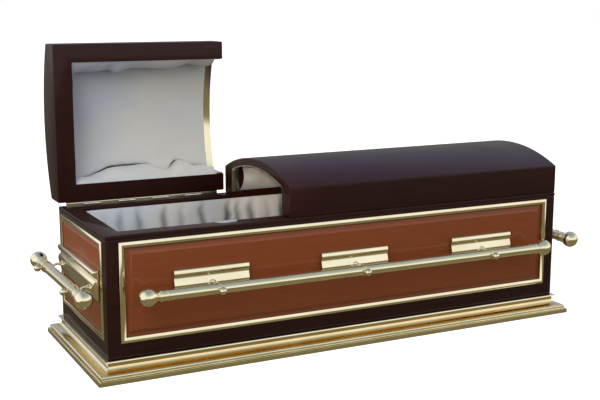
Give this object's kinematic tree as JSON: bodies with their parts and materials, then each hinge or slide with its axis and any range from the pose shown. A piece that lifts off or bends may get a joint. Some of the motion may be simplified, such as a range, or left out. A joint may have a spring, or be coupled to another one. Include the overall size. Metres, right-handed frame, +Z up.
{
  "type": "funeral casket",
  "caption": "Long panelled wooden box with a two-leaf domed lid on back hinges, padded satin linings, a stepped brass plinth and brass bar handles all round.",
  "frame": {"origin": "on the ground under the middle of the whole casket as it stands, with its handles and its open head lid; the box itself is centred 23.5 mm in front of it", "axes": "+X along the casket towards the foot end, +Y towards the hinged back, +Z up"},
  "size_m": [2.2962, 0.9609, 1.185],
  "materials": {
    "dark_wood": "dark brown high-gloss lacquer",
    "tan_panel": "warm brown semi-gloss lacquer",
    "brass": "polished pale brass",
    "satin_lining": "pale grey-white satin"
  },
  "bodies": {
    "casket": {"back_arm_1": "brass", "back_arm_2": "brass", "back_arm_3": "brass", "back_bar": "brass", "back_bar_tip_1": "brass", "back_bar_tip_2": "brass", "back_frame": "brass", "back_lug_1": "brass", "back_lug_2": "brass", "back_lug_3": "brass", "back_panel": "tan_panel", "body_lining": "satin_lining", "body_rim": "dark_wood", "body_shell": "dark_wood", "foot_end_arm_1": "brass", "foot_end_arm_2": "brass", "foot_end_bar": "brass", "foot_end_bar_tip_1": "brass", "foot_end_bar_tip_2": "brass", "foot_end_frame": "brass", "foot_end_lug": "brass", "foot_end_panel": "tan_panel", "foot_hinge_body_leaf": "brass", "foot_hinge_pin": "brass", "front_arm_1": "brass", "front_arm_2": "brass", "front_arm_3": "brass", "front_bar": "brass", "front_bar_tip_1": "brass", "front_bar_tip_2": "brass", "front_frame": "brass", "front_lug_1": "brass", "front_lug_2": "brass", "front_lug_3": "brass", "front_panel": "tan_panel", "head_end_arm_1": "brass", "head_end_arm_2": "brass", "head_end_bar": "brass", "head_end_bar_tip_1": "brass", "head_end_bar_tip_2": "brass", "head_end_frame": "brass", "head_end_lug": "brass", "head_end_panel": "tan_panel", "head_hinge_body_leaf": "brass", "head_hinge_pin": "brass", "plinth_moulding": "brass"},
    "head_lid": {"head_lid_shell": "dark_wood", "head_lid_lining": "satin_lining", "head_lid_trim": "brass", "head_hinge_lid_leaf": "brass"},
    "foot_lid": {"foot_lid_shell": "dark_wood", "foot_lid_lining": "satin_lining", "foot_lid_trim": "brass", "foot_hinge_lid_leaf": "brass"}
  },
  "joints": [
    {"name": "head_lid_hinge", "type": "hinge", "parent": "casket", "child": "head_lid", "pos_m": [-0.647, 0.3005, 0.542], "axis": [-1, 0, 0], "range_deg": [-90, 0]},
    {"name": "foot_lid_hinge", "type": "hinge", "parent": "casket", "child": "foot_lid", "pos_m": [0.366, 0.3005, 0.542], "axis": [-1, 0, 0], "range_deg": [0, 90]}
  ]
}
